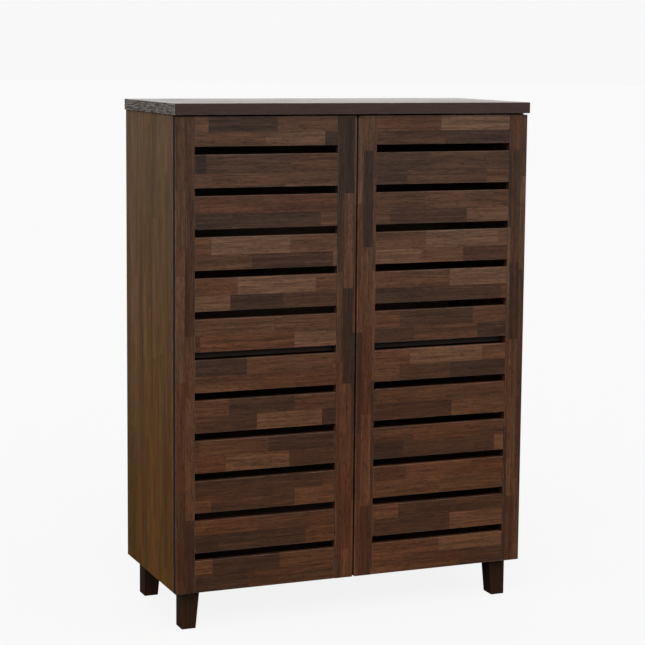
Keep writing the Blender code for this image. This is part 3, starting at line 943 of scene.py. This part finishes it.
class Finish(Enum):
    """Every finish on the cabinet."""

    SLAT = DoorWood(
        title="Slat walnut",
        lay=GrainLay.ALONG_X_STRIPS_UP,
        strip_width=0.0391,
        block_length=0.150,
        seed=0.103,
        tones=DOOR_TONES,
    )
    STILE = DoorWood(
        title="Stile walnut",
        lay=GrainLay.ALONG_Z_STRIPS_WIDE,
        strip_width=0.0205,
        block_length=0.190,
        seed=0.34,
        tones=STILE_TONES,
    )
    TOP = TopWood(
        title="Top walnut",
        lay=GrainLay.ALONG_X_STRIPS_DEEP,
        strip_width=0.0410,
        block_length=0.240,
        seed=0.12,
        tones=DOOR_TONES,
        plain=(("Specular IOR Level", 0.5),),
        gloss=(0.20, 0.30),
        dust=0.06,
    )
    SIDE = StripWood(
        title="Side walnut",
        lay=GrainLay.ALONG_Z_STRIPS_DEEP,
        strip_width=0.0300,
        block_length=0.340,
        seed=0.47,
        tones=SIDE_TONES,
        warm=(0.135, 0.050, 0.0060),
        warm_share=0.35,
        # Painted light: the side is painted much lighter towards the top, most of all in blue.
        painted_top_light=(1.30, 1.85, 6.20),
        painted_top_light_span=(0.15, 1.15),
        streak_depth=0.22,
        line_depth=0.26,
        fleck_depth=0.16,
        pore_depth=0.25,
        seam_depth=0.06,
    )
    SHELF = ShelfWood(
        title="Shelf walnut",
        lay=GrainLay.ALONG_X_STRIPS_DEEP,
        strip_width=0.0600,
        block_length=0.300,
        seed=0.83,
        tones=INNER_TONES,
        warm_share=0.2,
        rub_and_highlight=0.25,
        dust=0.06,
    )
    LEG = StainedWood(
        title="Dark leg",
        lay=GrainLay.ALONG_Z_STRIPS_WIDE,
        dark=(0.0170, 0.0070, 0.0022),
        light=(0.0330, 0.0135, 0.0045),
    )
    BACK = PressedBoard(title="Back hardboard", dark=(0.095, 0.058, 0.037), light=(0.150, 0.097, 0.064))
    HINGE = PlatedSteel(title="Hinge nickel", bright=(0.62, 0.61, 0.58), dull=(0.36, 0.35, 0.33))
    SCREW = PlatedSteel(
        title="Screw zinc", bright=(0.58, 0.58, 0.60), dull=(0.30, 0.30, 0.31), gloss=(0.24, 0.42)
    )
    NAIL = PlatedSteel(
        title="Nail steel", bright=(0.34, 0.33, 0.32), dull=(0.16, 0.14, 0.13), gloss=(0.35, 0.55)
    )
    CAP = MouldedPlastic(title="Cap plastic", base=(0.024, 0.012, 0.008), wear_and_highlight=(0.050, 0.028, 0.019))
    BUFFER = MouldedPlastic(
        title="Buffer rubber",
        base=(0.62, 0.62, 0.58),
        wear_and_highlight=(0.75, 0.75, 0.72),
        plain=(("IOR", 1.47), ("Transmission Weight", 0.6)),
    )

    @property
    def material(self) -> bpy.types.Material:
        """The finish's material, made on its first use."""
        return bpy.data.materials.get(self.value.title) or self.value.dress()


# ------------------------------------------------------------------------------------------------
# Modelling by operators
# ------------------------------------------------------------------------------------------------


class Bench:
    """The modelling bench: short calls for work with Blender's own operators."""

    facing: ClassVar[float] = 0.9
    sharp: ClassVar[float] = math.radians(38.0)

    @staticmethod
    def clear() -> None:
        """Deselects every object."""
        if bpy.context.object and bpy.context.object.mode != "OBJECT":
            bpy.ops.object.mode_set(mode="OBJECT")
        bpy.ops.object.select_all(action="DESELECT")

    @staticmethod
    def hold(piece: bpy.types.Object) -> None:
        """Makes one object the selected, active one.

        Args:
            piece: The object.
        """
        Bench.clear()
        piece.select_set(True)
        bpy.context.view_layer.objects.active = piece

    @staticmethod
    def disc(radius: float, depth: float, steps: int) -> bpy.types.Object:
        """Adds a round blank that stands on the XY plane.

        Args:
            radius: Its radius.
            depth: Its height.
            steps: How many sides it has.

        Returns:
            The blank, held.
        """
        Bench.clear()
        middle = (0.0, 0.0, depth / 2)
        bpy.ops.mesh.primitive_cylinder_add(vertices=steps, radius=radius, depth=depth, location=middle)
        blank = bpy.context.object
        bpy.ops.object.transform_apply(location=True, rotation=True, scale=True)
        return blank

    @staticmethod
    def pick_end(piece: bpy.types.Object, way: float = 1.0) -> None:
        """Enters edit mode with one end of a piece selected.

        Args:
            piece: The piece.
            way: 1 for its top, -1 for its foot.
        """
        Bench.hold(piece)
        bpy.ops.object.mode_set(mode="EDIT")
        bpy.ops.mesh.select_mode(type="FACE")
        bpy.ops.mesh.select_all(action="DESELECT")
        bpy.ops.object.mode_set(mode="OBJECT")
        for face in piece.data.polygons:
            face.select = face.normal.z * way > Bench.facing
        bpy.ops.object.mode_set(mode="EDIT")

    @staticmethod
    def extrude(lift: float) -> None:
        """Extrudes the selected faces along Z."""
        bpy.ops.mesh.extrude_region_move(TRANSFORM_OT_translate={"value": (0.0, 0.0, lift)})

    @staticmethod
    def soften(piece: bpy.types.Object, width: float, segments: int = 2, limit: float = 40.0) -> None:
        """Rounds a piece's edges with a Bevel modifier, and applies it.

        Args:
            piece: The piece.
            width: How far the rounding reaches.
            segments: How many facets it has.
            limit: The angle in degrees from which an edge is rounded.
        """
        Bench.hold(piece)
        bevel = piece.modifiers.new("soften", "BEVEL")
        bevel.width, bevel.segments, bevel.angle_limit = width, segments, math.radians(limit)
        bevel.limit_method = "ANGLE"
        bpy.ops.object.modifier_apply(modifier=bevel.name)

    @staticmethod
    def slit(
        piece: bpy.types.Object, size: tuple[float, float, float], height: float, turn: float = 0.0
    ) -> None:
        """Cuts a straight slit across a piece.

        Args:
            piece: The piece.
            size: The slit's length, width and whole height.
            height: The height of the slit's middle.
            turn: How far the slit is turned about Z.
        """
        Bench.clear()
        bpy.ops.mesh.primitive_cube_add(size=1.0, location=(0.0, 0.0, height), rotation=(0.0, 0.0, turn))
        cutter = bpy.context.object
        cutter.scale = size
        bpy.ops.object.transform_apply(location=True, rotation=True, scale=True)
        Bench.hold(piece)
        cut = piece.modifiers.new("slit", "BOOLEAN")
        cut.operation, cut.solver, cut.object = "DIFFERENCE", "EXACT", cutter
        bpy.ops.object.modifier_apply(modifier=cut.name)
        Bench.scrap(cutter)

    @staticmethod
    def finish(piece: bpy.types.Object, finish: Finish) -> bpy.types.Object:
        """Shades a pattern smooth, apart from its sharper edges, and gives it a finish.

        Args:
            piece: The pattern.
            finish: Its finish.

        Returns:
            The same pattern.
        """
        Bench.hold(piece)
        bpy.ops.object.shade_smooth_by_angle(angle=Bench.sharp)
        piece.data.materials.clear()
        piece.data.materials.append(finish.material)
        return piece

    @staticmethod
    def copy_at(piece: bpy.types.Object, name: str, place: Vector, out: Vector) -> bpy.types.Object:
        """Copies a fitting that was modelled standing on the XY plane, and sets it on a face.

        Args:
            piece: The fitting's pattern.
            name: The copy's name.
            place: Where its foot stands.
            out: Which way its top points.

        Returns:
            The copy, at the origin, with its place in its own mesh.
        """
        made = bpy.data.objects.new(name, piece.data.copy())
        made.data.name = name
        bpy.context.scene.collection.objects.link(made)
        turn = Vector((0, 0, 1)).rotation_difference(out).to_matrix().to_4x4()
        made.data.transform(Matrix.Translation(place) @ turn)
        made.data.update()
        return made

    @staticmethod
    def scrap(piece: bpy.types.Object) -> None:
        """Removes a cutter, or a pattern once its copies are made."""
        bpy.data.objects.remove(piece, do_unlink=True)


# ------------------------------------------------------------------------------------------------
# The cabinet
# ------------------------------------------------------------------------------------------------


@dataclass
class Carcass:
    """The wooden body of the cabinet: its boards keep their shapes and are given their finishes."""

    nodes: dict[str, bpy.types.Object]
    finishes: ClassVar[tuple[tuple[str, Finish], ...]] = (
        ("slat", Finish.SLAT),
        ("stile", Finish.STILE),
        ("top_panel", Finish.TOP),
        ("side_panel", Finish.SIDE),
        ("back_panel", Finish.BACK),
        ("_leg", Finish.LEG),
        ("shelf", Finish.SHELF),
        ("bottom_panel", Finish.SHELF),
        ("_hinge_", Finish.HINGE),
    )

    def finish_of(self, name: str) -> Finish:
        """Returns the finish whose key word the node's name holds first."""
        return next(finish for word, finish in self.finishes if word in name)

    def dress(self) -> None:
        """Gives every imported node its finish."""
        for name, node in sorted(self.nodes.items()):
            finish = self.finish_of(name)
            node.data.materials.clear()
            node.data.materials.append(finish.material)
            LOG.info("dressed %s in %s", name, finish.value.title)


@dataclass
class ShelfPins:
    """The steel pins that the loose shelves lie on, in the holes of the side panels."""

    radius: float = 0.0025
    collar_radius: float = 0.0036
    collar_depth: float = 0.0007
    buried: float = 0.0080
    proud: float = 0.0095
    rounding: float = 0.0002
    row_inset: float = 0.037
    seat: float = 0.0003
    shelves: int = 4

    def pattern(self) -> bpy.types.Object:
        """Models one pin, standing on its buried end, with a collar where it leaves the side.

        Returns:
            The pin.
        """
        pin = Bench.disc(self.radius, self.buried, 24)
        Bench.pick_end(pin)
        before = self.radius
        for radius, lift in ((self.collar_radius, self.collar_depth), (self.radius, self.proud)):
            Bench.extrude(0.0)
            grow = radius / before
            bpy.ops.transform.resize(value=(grow, grow, 1.0))
            Bench.extrude(lift)
            before = radius
        bpy.ops.object.mode_set(mode="OBJECT")
        Bench.soften(pin, self.rounding)
        return Bench.finish(pin, Finish.HINGE)

    def build(self) -> None:
        """Sets four pins under each loose shelf."""
        pattern = self.pattern()
        count = 0
        for number in range(1, self.shelves + 1):
            low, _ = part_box(f"adjustable_shelf_{number}")
            for word, out in INWARD.items():
                side_low, side_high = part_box(f"{word}_side_panel")
                face = side_high.x if word == "left" else side_low.x
                for depth in (low.y + self.row_inset, side_high.y - self.row_inset):
                    count += 1
                    place = Vector((face, depth, low.z - self.seat - self.radius)) - out * self.buried
                    pin = Bench.copy_at(pattern, f"shelf_pin_{count:02d}", place, out)
                    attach(pin, "root")
        Bench.scrap(pattern)
        LOG.info("modelled %d shelf pins", count)


@dataclass
class HingeScrews:
    """The cross-head screws of the hinges: round heads on the arms, flat heads on the cups."""

    head_radius: float = 0.0036
    head_depth: float = 0.0021
    flat_share: float = 0.55
    dome_rings: Span = (0.00075, 0.0010)
    dome_drop: float = 0.62
    dome_power: float = 2.4
    rim: float = 0.0004
    cross_reach: float = 1.15
    cross_width: float = 0.00085
    cross_depth: float = 0.0022
    shank_radius: float = 0.0016
    shank: float = 0.0030
    arm_spread: float = 0.0145
    arm_setback: float = 0.0192
    ear_face: float = 0.0018
    cup_spread: float = 0.017

    def pattern(self, domed: bool) -> bpy.types.Object:
        """Models one screw, with its shank below the XY plane and its head above.

        Args:
            domed: True for a round head, False for a low flat one.

        Returns:
            The screw.
        """
        depth = self.head_depth if domed else self.head_depth * self.flat_share
        screw = Bench.disc(self.head_radius, depth, 28)
        Bench.pick_end(screw)
        for inset in (*self.dome_rings, self.rim) if domed else (self.rim,):
            bpy.ops.mesh.inset(thickness=inset)
        bpy.ops.object.mode_set(mode="OBJECT")
        if domed:
            for vert in screw.data.vertices:
                reach = vert.co.xy.length / self.head_radius
                if vert.co.z > depth / 2:
                    vert.co.z = depth * (1.0 - self.dome_drop * reach**self.dome_power)
        Bench.pick_end(screw, -1.0)
        bpy.ops.mesh.inset(thickness=self.head_radius - self.shank_radius)
        Bench.extrude(-self.shank)
        bpy.ops.object.mode_set(mode="OBJECT")
        size = (self.head_radius * self.cross_reach, self.cross_width, self.cross_depth)
        for turn in (0.0, math.pi / 2):
            Bench.slit(screw, size, depth, turn)
        return Bench.finish(screw, Finish.SCREW)

    def build(self) -> None:
        """Sets two screws in each hinge arm and two in each hinge cup."""
        domed, flat = self.pattern(True), self.pattern(False)
        for word, out in INWARD.items():
            for place in ("lower", "upper"):
                low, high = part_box(f"{word}_{place}_hinge_arm")
                face = (low.x if word == "left" else high.x) + out.x * self.ear_face
                middle = (low.z + high.z) / 2
                for number, way in enumerate((-1, 1), start=1):
                    spot = Vector((face, high.y - self.arm_setback, middle + way * self.arm_spread))
                    screw = Bench.copy_at(domed, f"{word}_{place}_arm_screw_{number}", spot, out)
                    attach(screw, "root")
                low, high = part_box(f"{word}_{place}_hinge_cup")
                centre = (low + high) / 2
                for number, way in enumerate((-1, 1), start=1):
                    spot = Vector((centre.x, high.y, centre.z + way * self.cup_spread))
                    screw = Bench.copy_at(flat, f"{word}_{place}_cup_screw_{number}", spot, BACKWARD)
                    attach(screw, f"{word}_door")
        Bench.scrap(domed)
        Bench.scrap(flat)
        LOG.info("modelled the hinge screws")


@dataclass
class CamCaps:
    """The small caps over the cam fittings, on the inner faces of the side panels."""

    radius: float = 0.0085
    depth: float = 0.0011
    rim: float = 0.0012
    slope: float = 0.0006
    dish: float = 0.0003
    rounding: float = 0.0002
    coin_reach: float = 0.62
    coin_width: float = 0.0010
    coin_depth: float = 0.0010
    front_inset: float = 0.060
    back_inset: float = 0.048
    drop: float = 0.034

    def pattern(self) -> bpy.types.Object:
        """Models one cap: a low disc with a dished middle and a coin slot.

        Returns:
            The cap.
        """
        cap = Bench.disc(self.radius, self.depth, 40)
        Bench.pick_end(cap)
        bpy.ops.mesh.inset(thickness=self.rim)
        bpy.ops.mesh.inset(thickness=self.slope)
        bpy.ops.transform.translate(value=(0.0, 0.0, -self.dish))
        bpy.ops.object.mode_set(mode="OBJECT")
        Bench.soften(cap, self.rounding)
        Bench.slit(cap, (self.radius * self.coin_reach, self.coin_width, self.coin_depth), self.depth)
        return Bench.finish(cap, Finish.CAP)

    def build(self) -> None:
        """Sets caps below the top, above the middle shelf and above the bottom, on each side."""
        pattern = self.pattern()
        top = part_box("top_panel")[0].z - self.drop
        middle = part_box("middle_shelf")[1].z + self.drop
        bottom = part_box("bottom_panel")[1].z + self.drop
        count = 0
        for word, out in INWARD.items():
            low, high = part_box(f"{word}_side_panel")
            face = high.x if word == "left" else low.x
            for height in (bottom, middle, top):
                for depth in (low.y + self.front_inset, high.y - self.back_inset):
                    count += 1
                    place = Vector((face, depth, height))
                    cap = Bench.copy_at(pattern, f"cam_cap_{count:02d}", place, out)
                    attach(cap, "root")
        Bench.scrap(pattern)
        LOG.info("modelled %d cam caps", count)


@dataclass
class BackNails:
    """The flat-headed nails that hold the back to the carcass."""

    radius: float = 0.0021
    depth: float = 0.0005
    rim: float = 0.0006
    dish: float = 0.00012
    rounding: float = 0.0001
    edge: float = 0.0075
    spacing: float = 0.105

    def pattern(self) -> bpy.types.Object:
        """Models one nail's head, a little dished.

        Returns:
            The nail.
        """
        nail = Bench.disc(self.radius, self.depth, 16)
        Bench.pick_end(nail)
        bpy.ops.mesh.inset(thickness=self.rim)
        bpy.ops.transform.translate(value=(0.0, 0.0, -self.dish))
        bpy.ops.object.mode_set(mode="OBJECT")
        Bench.soften(nail, self.rounding)
        return Bench.finish(nail, Finish.NAIL)

    def places(self) -> list[Vector]:
        """Works out where the nails go: round the edge, and along the middle shelf.

        Returns:
            The nails' places on the back's outer face.
        """
        low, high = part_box("back_panel")
        width = high.x - low.x - 2 * self.edge
        height = high.z - low.z - 2 * self.edge
        wide, tall = round(width / self.spacing), round(height / self.spacing)
        shelf = sum(corner.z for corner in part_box("middle_shelf")) / 2
        spots = []
        for step in range(wide + 1):
            x = low.x + self.edge + width * step / wide
            spots += [Vector((x, high.y, z)) for z in (low.z + self.edge, shelf)]
        for step in range(1, tall + 1):
            z = low.z + self.edge + height * step / tall
            spots += [Vector((x, high.y, z)) for x in (low.x + self.edge, high.x - self.edge)]
        return spots

    def build(self) -> None:
        """Copies the nail to every place, and joins the copies into one piece."""
        nail = self.pattern()
        spots = self.places()
        made = [Bench.copy_at(nail, f"nail_{at}", spot, BACKWARD) for at, spot in enumerate(spots)]
        Bench.scrap(nail)
        Bench.hold(made[0])
        for copy in made[1:]:
            copy.select_set(True)
        bpy.ops.object.join()
        nails = bpy.context.object
        nails.name = "back_nails"
        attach(nails, "root")
        LOG.info("modelled %d back nails", len(spots))


@dataclass
class DoorBuffers:
    """The soft dots on the backs of the doors, which meet the front edge of the bottom panel."""

    radius: float = 0.0045
    depth: float = 0.0019
    crown_inset: float = 0.0014
    shoulder: float = 0.55
    rounding: float = 0.0004
    lift: float = 0.0075

    def pattern(self) -> bpy.types.Object:
        """Models one dot with a rounded crown.

        Returns:
            The dot.
        """
        dot = Bench.disc(self.radius, self.depth, 28)
        Bench.pick_end(dot)
        bpy.ops.mesh.inset(thickness=self.crown_inset)
        bpy.ops.object.mode_set(mode="OBJECT")
        for vert in dot.data.vertices:
            if vert.co.z > self.depth / 2 and vert.co.xy.length > self.radius - self.crown_inset / 2:
                vert.co.z = self.depth * self.shoulder
        Bench.soften(dot, self.rounding, 3, 25.0)
        return Bench.finish(dot, Finish.BUFFER)

    def build(self) -> None:
        """Sets two dots on each door, one on each stile, before the bottom panel's edge."""
        pattern = self.pattern()
        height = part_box("bottom_panel")[0].z + self.lift
        for word in INWARD:
            for number, stile in enumerate(("hinge", "meeting"), start=1):
                low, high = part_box(f"{word}_door_{stile}_stile")
                place = Vector(((low.x + high.x) / 2, high.y, height))
                dot = Bench.copy_at(pattern, f"{word}_door_buffer_{number}", place, BACKWARD)
                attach(dot, f"{word}_door")
        Bench.scrap(pattern)
        LOG.info("modelled the door buffers")


# ------------------------------------------------------------------------------------------------
# Studio
# ------------------------------------------------------------------------------------------------


@dataclass(frozen=True)
class Lamp:
    """One soft, distant light."""

    name: str
    azimuth: float
    elevation: float
    strength: float
    softness: float
    tint: Colour

    def hang(self) -> None:
        """Adds the light to the scene."""
        data = bpy.data.lights.new(self.name, "SUN")
        data.energy, data.angle, data.color = self.strength, math.radians(self.softness), self.tint
        lamp = bpy.data.objects.new(self.name, data)
        bpy.context.scene.collection.objects.link(lamp)
        across, up = math.radians(self.azimuth), math.radians(self.elevation)
        level = math.cos(up)
        towards = Vector((math.sin(across) * level, -math.cos(across) * level, math.sin(up)))
        lamp.rotation_euler = towards.to_track_quat("Z", "Y").to_euler()


@dataclass
class Studio:
    """The pale floor, the soft light round the cabinet, and the camera."""

    backdrop: Colour = (0.939, 0.939, 0.939)
    even_sky: float = 0.20
    front_sky: float = 0.12
    front_reach: Span = (0.2, -0.8)
    high_sky: float = 0.30
    high_reach: Span = (0.0, 0.9)
    glare: float = 0.80
    glare_way: tuple[float, float, float] = (0.5, 0.866, 0.0)
    glare_reach: Span = (0.75, 0.95)
    floor_radius: float = 60.0
    floor_glow: float = 0.925
    floor_base: Colour = (0.08, 0.08, 0.08)
    floor_tooth: float = 1.01
    lamps: tuple[Lamp, ...] = (
        Lamp("key", -28.0, 38.0, 1.9, 50.0, (1.0, 0.985, 0.965)),
        Lamp("fill", 35.0, 30.0, 0.7, 70.0, (0.97, 0.985, 1.0)),
        Lamp("side", -95.0, 16.0, 0.9, 60.0, (1.0, 0.93, 0.78)),
    )
    camera_place: tuple[float, float, float] = (-1.483, -3.575, 1.133)
    camera_turn: float = -22.440
    camera_pitch: float = -7.063
    camera_roll: float = 0.488
    sensor: float = 36.0
    lens: float = 105.95
    shift: float = -0.06
    clip: Span = (0.05, 200.0)

    def floor(self) -> None:
        """Lays the pale floor, which the camera sees glow and which catches a faint shadow."""
        Bench.clear()
        bpy.ops.mesh.primitive_circle_add(vertices=96, radius=self.floor_radius, fill_type="NGON")
        floor = bpy.context.object
        floor.name = "studio_floor"
        plain = {"Roughness": 0.9, "Specular IOR Level": 0.0, "Emission Color": self.backdrop}
        material, board, shader = new_material("Studio floor", plain)
        tooth = board.cloud(board.object_place(), 30.0, 3.0)
        pale = tuple(part * self.floor_tooth for part in self.floor_base)
        board.feed(shader.inputs["Base Color"], board.blend(tooth, self.floor_base, pale))
        glow = board.maths("MULTIPLY", board.seen(), self.floor_glow)
        board.feed(shader.inputs["Emission Strength"], glow)
        floor.data.materials.append(material)

    def sky(self) -> None:
        """Surrounds the scene with light: even, more of it in front and above, and a glare behind.

        The camera sees the plain backdrop instead.
        """
        world = bpy.data.worlds.new("Studio sky")
        bpy.context.scene.world = world
        world.use_nodes = True
        world.node_tree.nodes.clear()
        board = NodeBoard(world.node_tree)
        way = board.add("ShaderNodeTexCoord").outputs["Generated"]
        _, back, up = board.apart(way)
        facing = board.meet(way, self.glare_way)
        glare = board.maths("MULTIPLY", board.fade(facing, *self.glare_reach), self.glare)
        front = board.maths("MULTIPLY", board.fade(back, *self.front_reach), self.front_sky)
        above = board.maths("MULTIPLY", board.fade(up, *self.high_reach), self.high_sky)
        level: Feed = self.even_sky
        for part in (glare, front, above):
            level = board.maths("ADD", level, part)
        strength = board.between(board.seen(), level, 1.0)
        light = board.add("ShaderNodeBackground", {"Color": self.backdrop, "Strength": strength})
        out = board.add("ShaderNodeOutputWorld")
        board.feed(out.inputs["Surface"], light.outputs[0])

    def camera(self) -> None:
        """Sets up the camera."""
        data = bpy.data.cameras.new("camera")
        data.sensor_width, data.lens, data.shift_y = self.sensor, self.lens, self.shift
        data.clip_start, data.clip_end = self.clip
        camera = bpy.data.objects.new("camera", data)
        bpy.context.scene.collection.objects.link(camera)
        turn = Matrix.Rotation(math.radians(self.camera_turn), 4, "Z")
        tilt = Matrix.Rotation(math.radians(90.0 + self.camera_pitch), 4, "X")
        roll = Matrix.Rotation(math.radians(self.camera_roll), 4, "Z")
        camera.matrix_world = Matrix.Translation(self.camera_place) @ turn @ tilt @ roll
        bpy.context.scene.camera = camera

    def build(self) -> None:
        """Builds the whole studio."""
        self.floor()
        self.sky()
        for lamp in self.lamps:
            lamp.hang()
        self.camera()
        views = bpy.context.scene.view_settings
        views.view_transform, views.look = "Standard", "None"
        LOG.info("set up the studio")


def main() -> None:
    """Loads the frame, dresses it, adds its fittings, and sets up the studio."""
    logging.basicConfig(level=logging.INFO, format="%(message)s")
    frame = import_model()
    Carcass(frame["nodes"]).dress()
    for part in (ShelfPins(), HingeScrews(), CamCaps(), BackNails(), DoorBuffers()):
        part.build()
    Studio().build()


if __name__ == "__main__":
    main()
